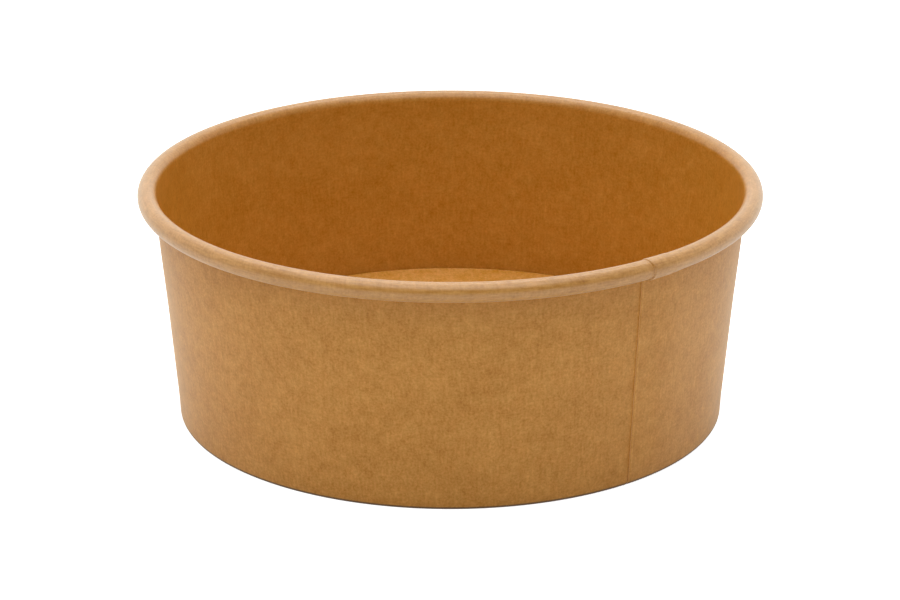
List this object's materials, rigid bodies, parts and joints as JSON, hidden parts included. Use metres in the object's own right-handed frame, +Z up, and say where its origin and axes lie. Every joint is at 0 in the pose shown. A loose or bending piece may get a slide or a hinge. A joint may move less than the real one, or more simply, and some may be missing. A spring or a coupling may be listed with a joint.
{
  "type": "paper salad bowl",
  "caption": "Round kraft board bowl with a tapered wall, a lapped side seam, a rolled rim and a recessed floor.",
  "frame": {"origin": "centre of the ring that the bowl stands on, at table height", "axes": "+Z up out of the mouth; -Y is the front of the picture, and the side seam's cut edge is 52 degrees from +X towards -Y"},
  "size_m": [0.15, 0.15, 0.0576],
  "materials": {
    "kraft_wall": "matte",
    "kraft_floor": "matte"
  },
  "bodies": {
    "root": {"side_wall": "kraft_wall", "bottom_disc": "kraft_floor"}
  },
  "joints": []
}
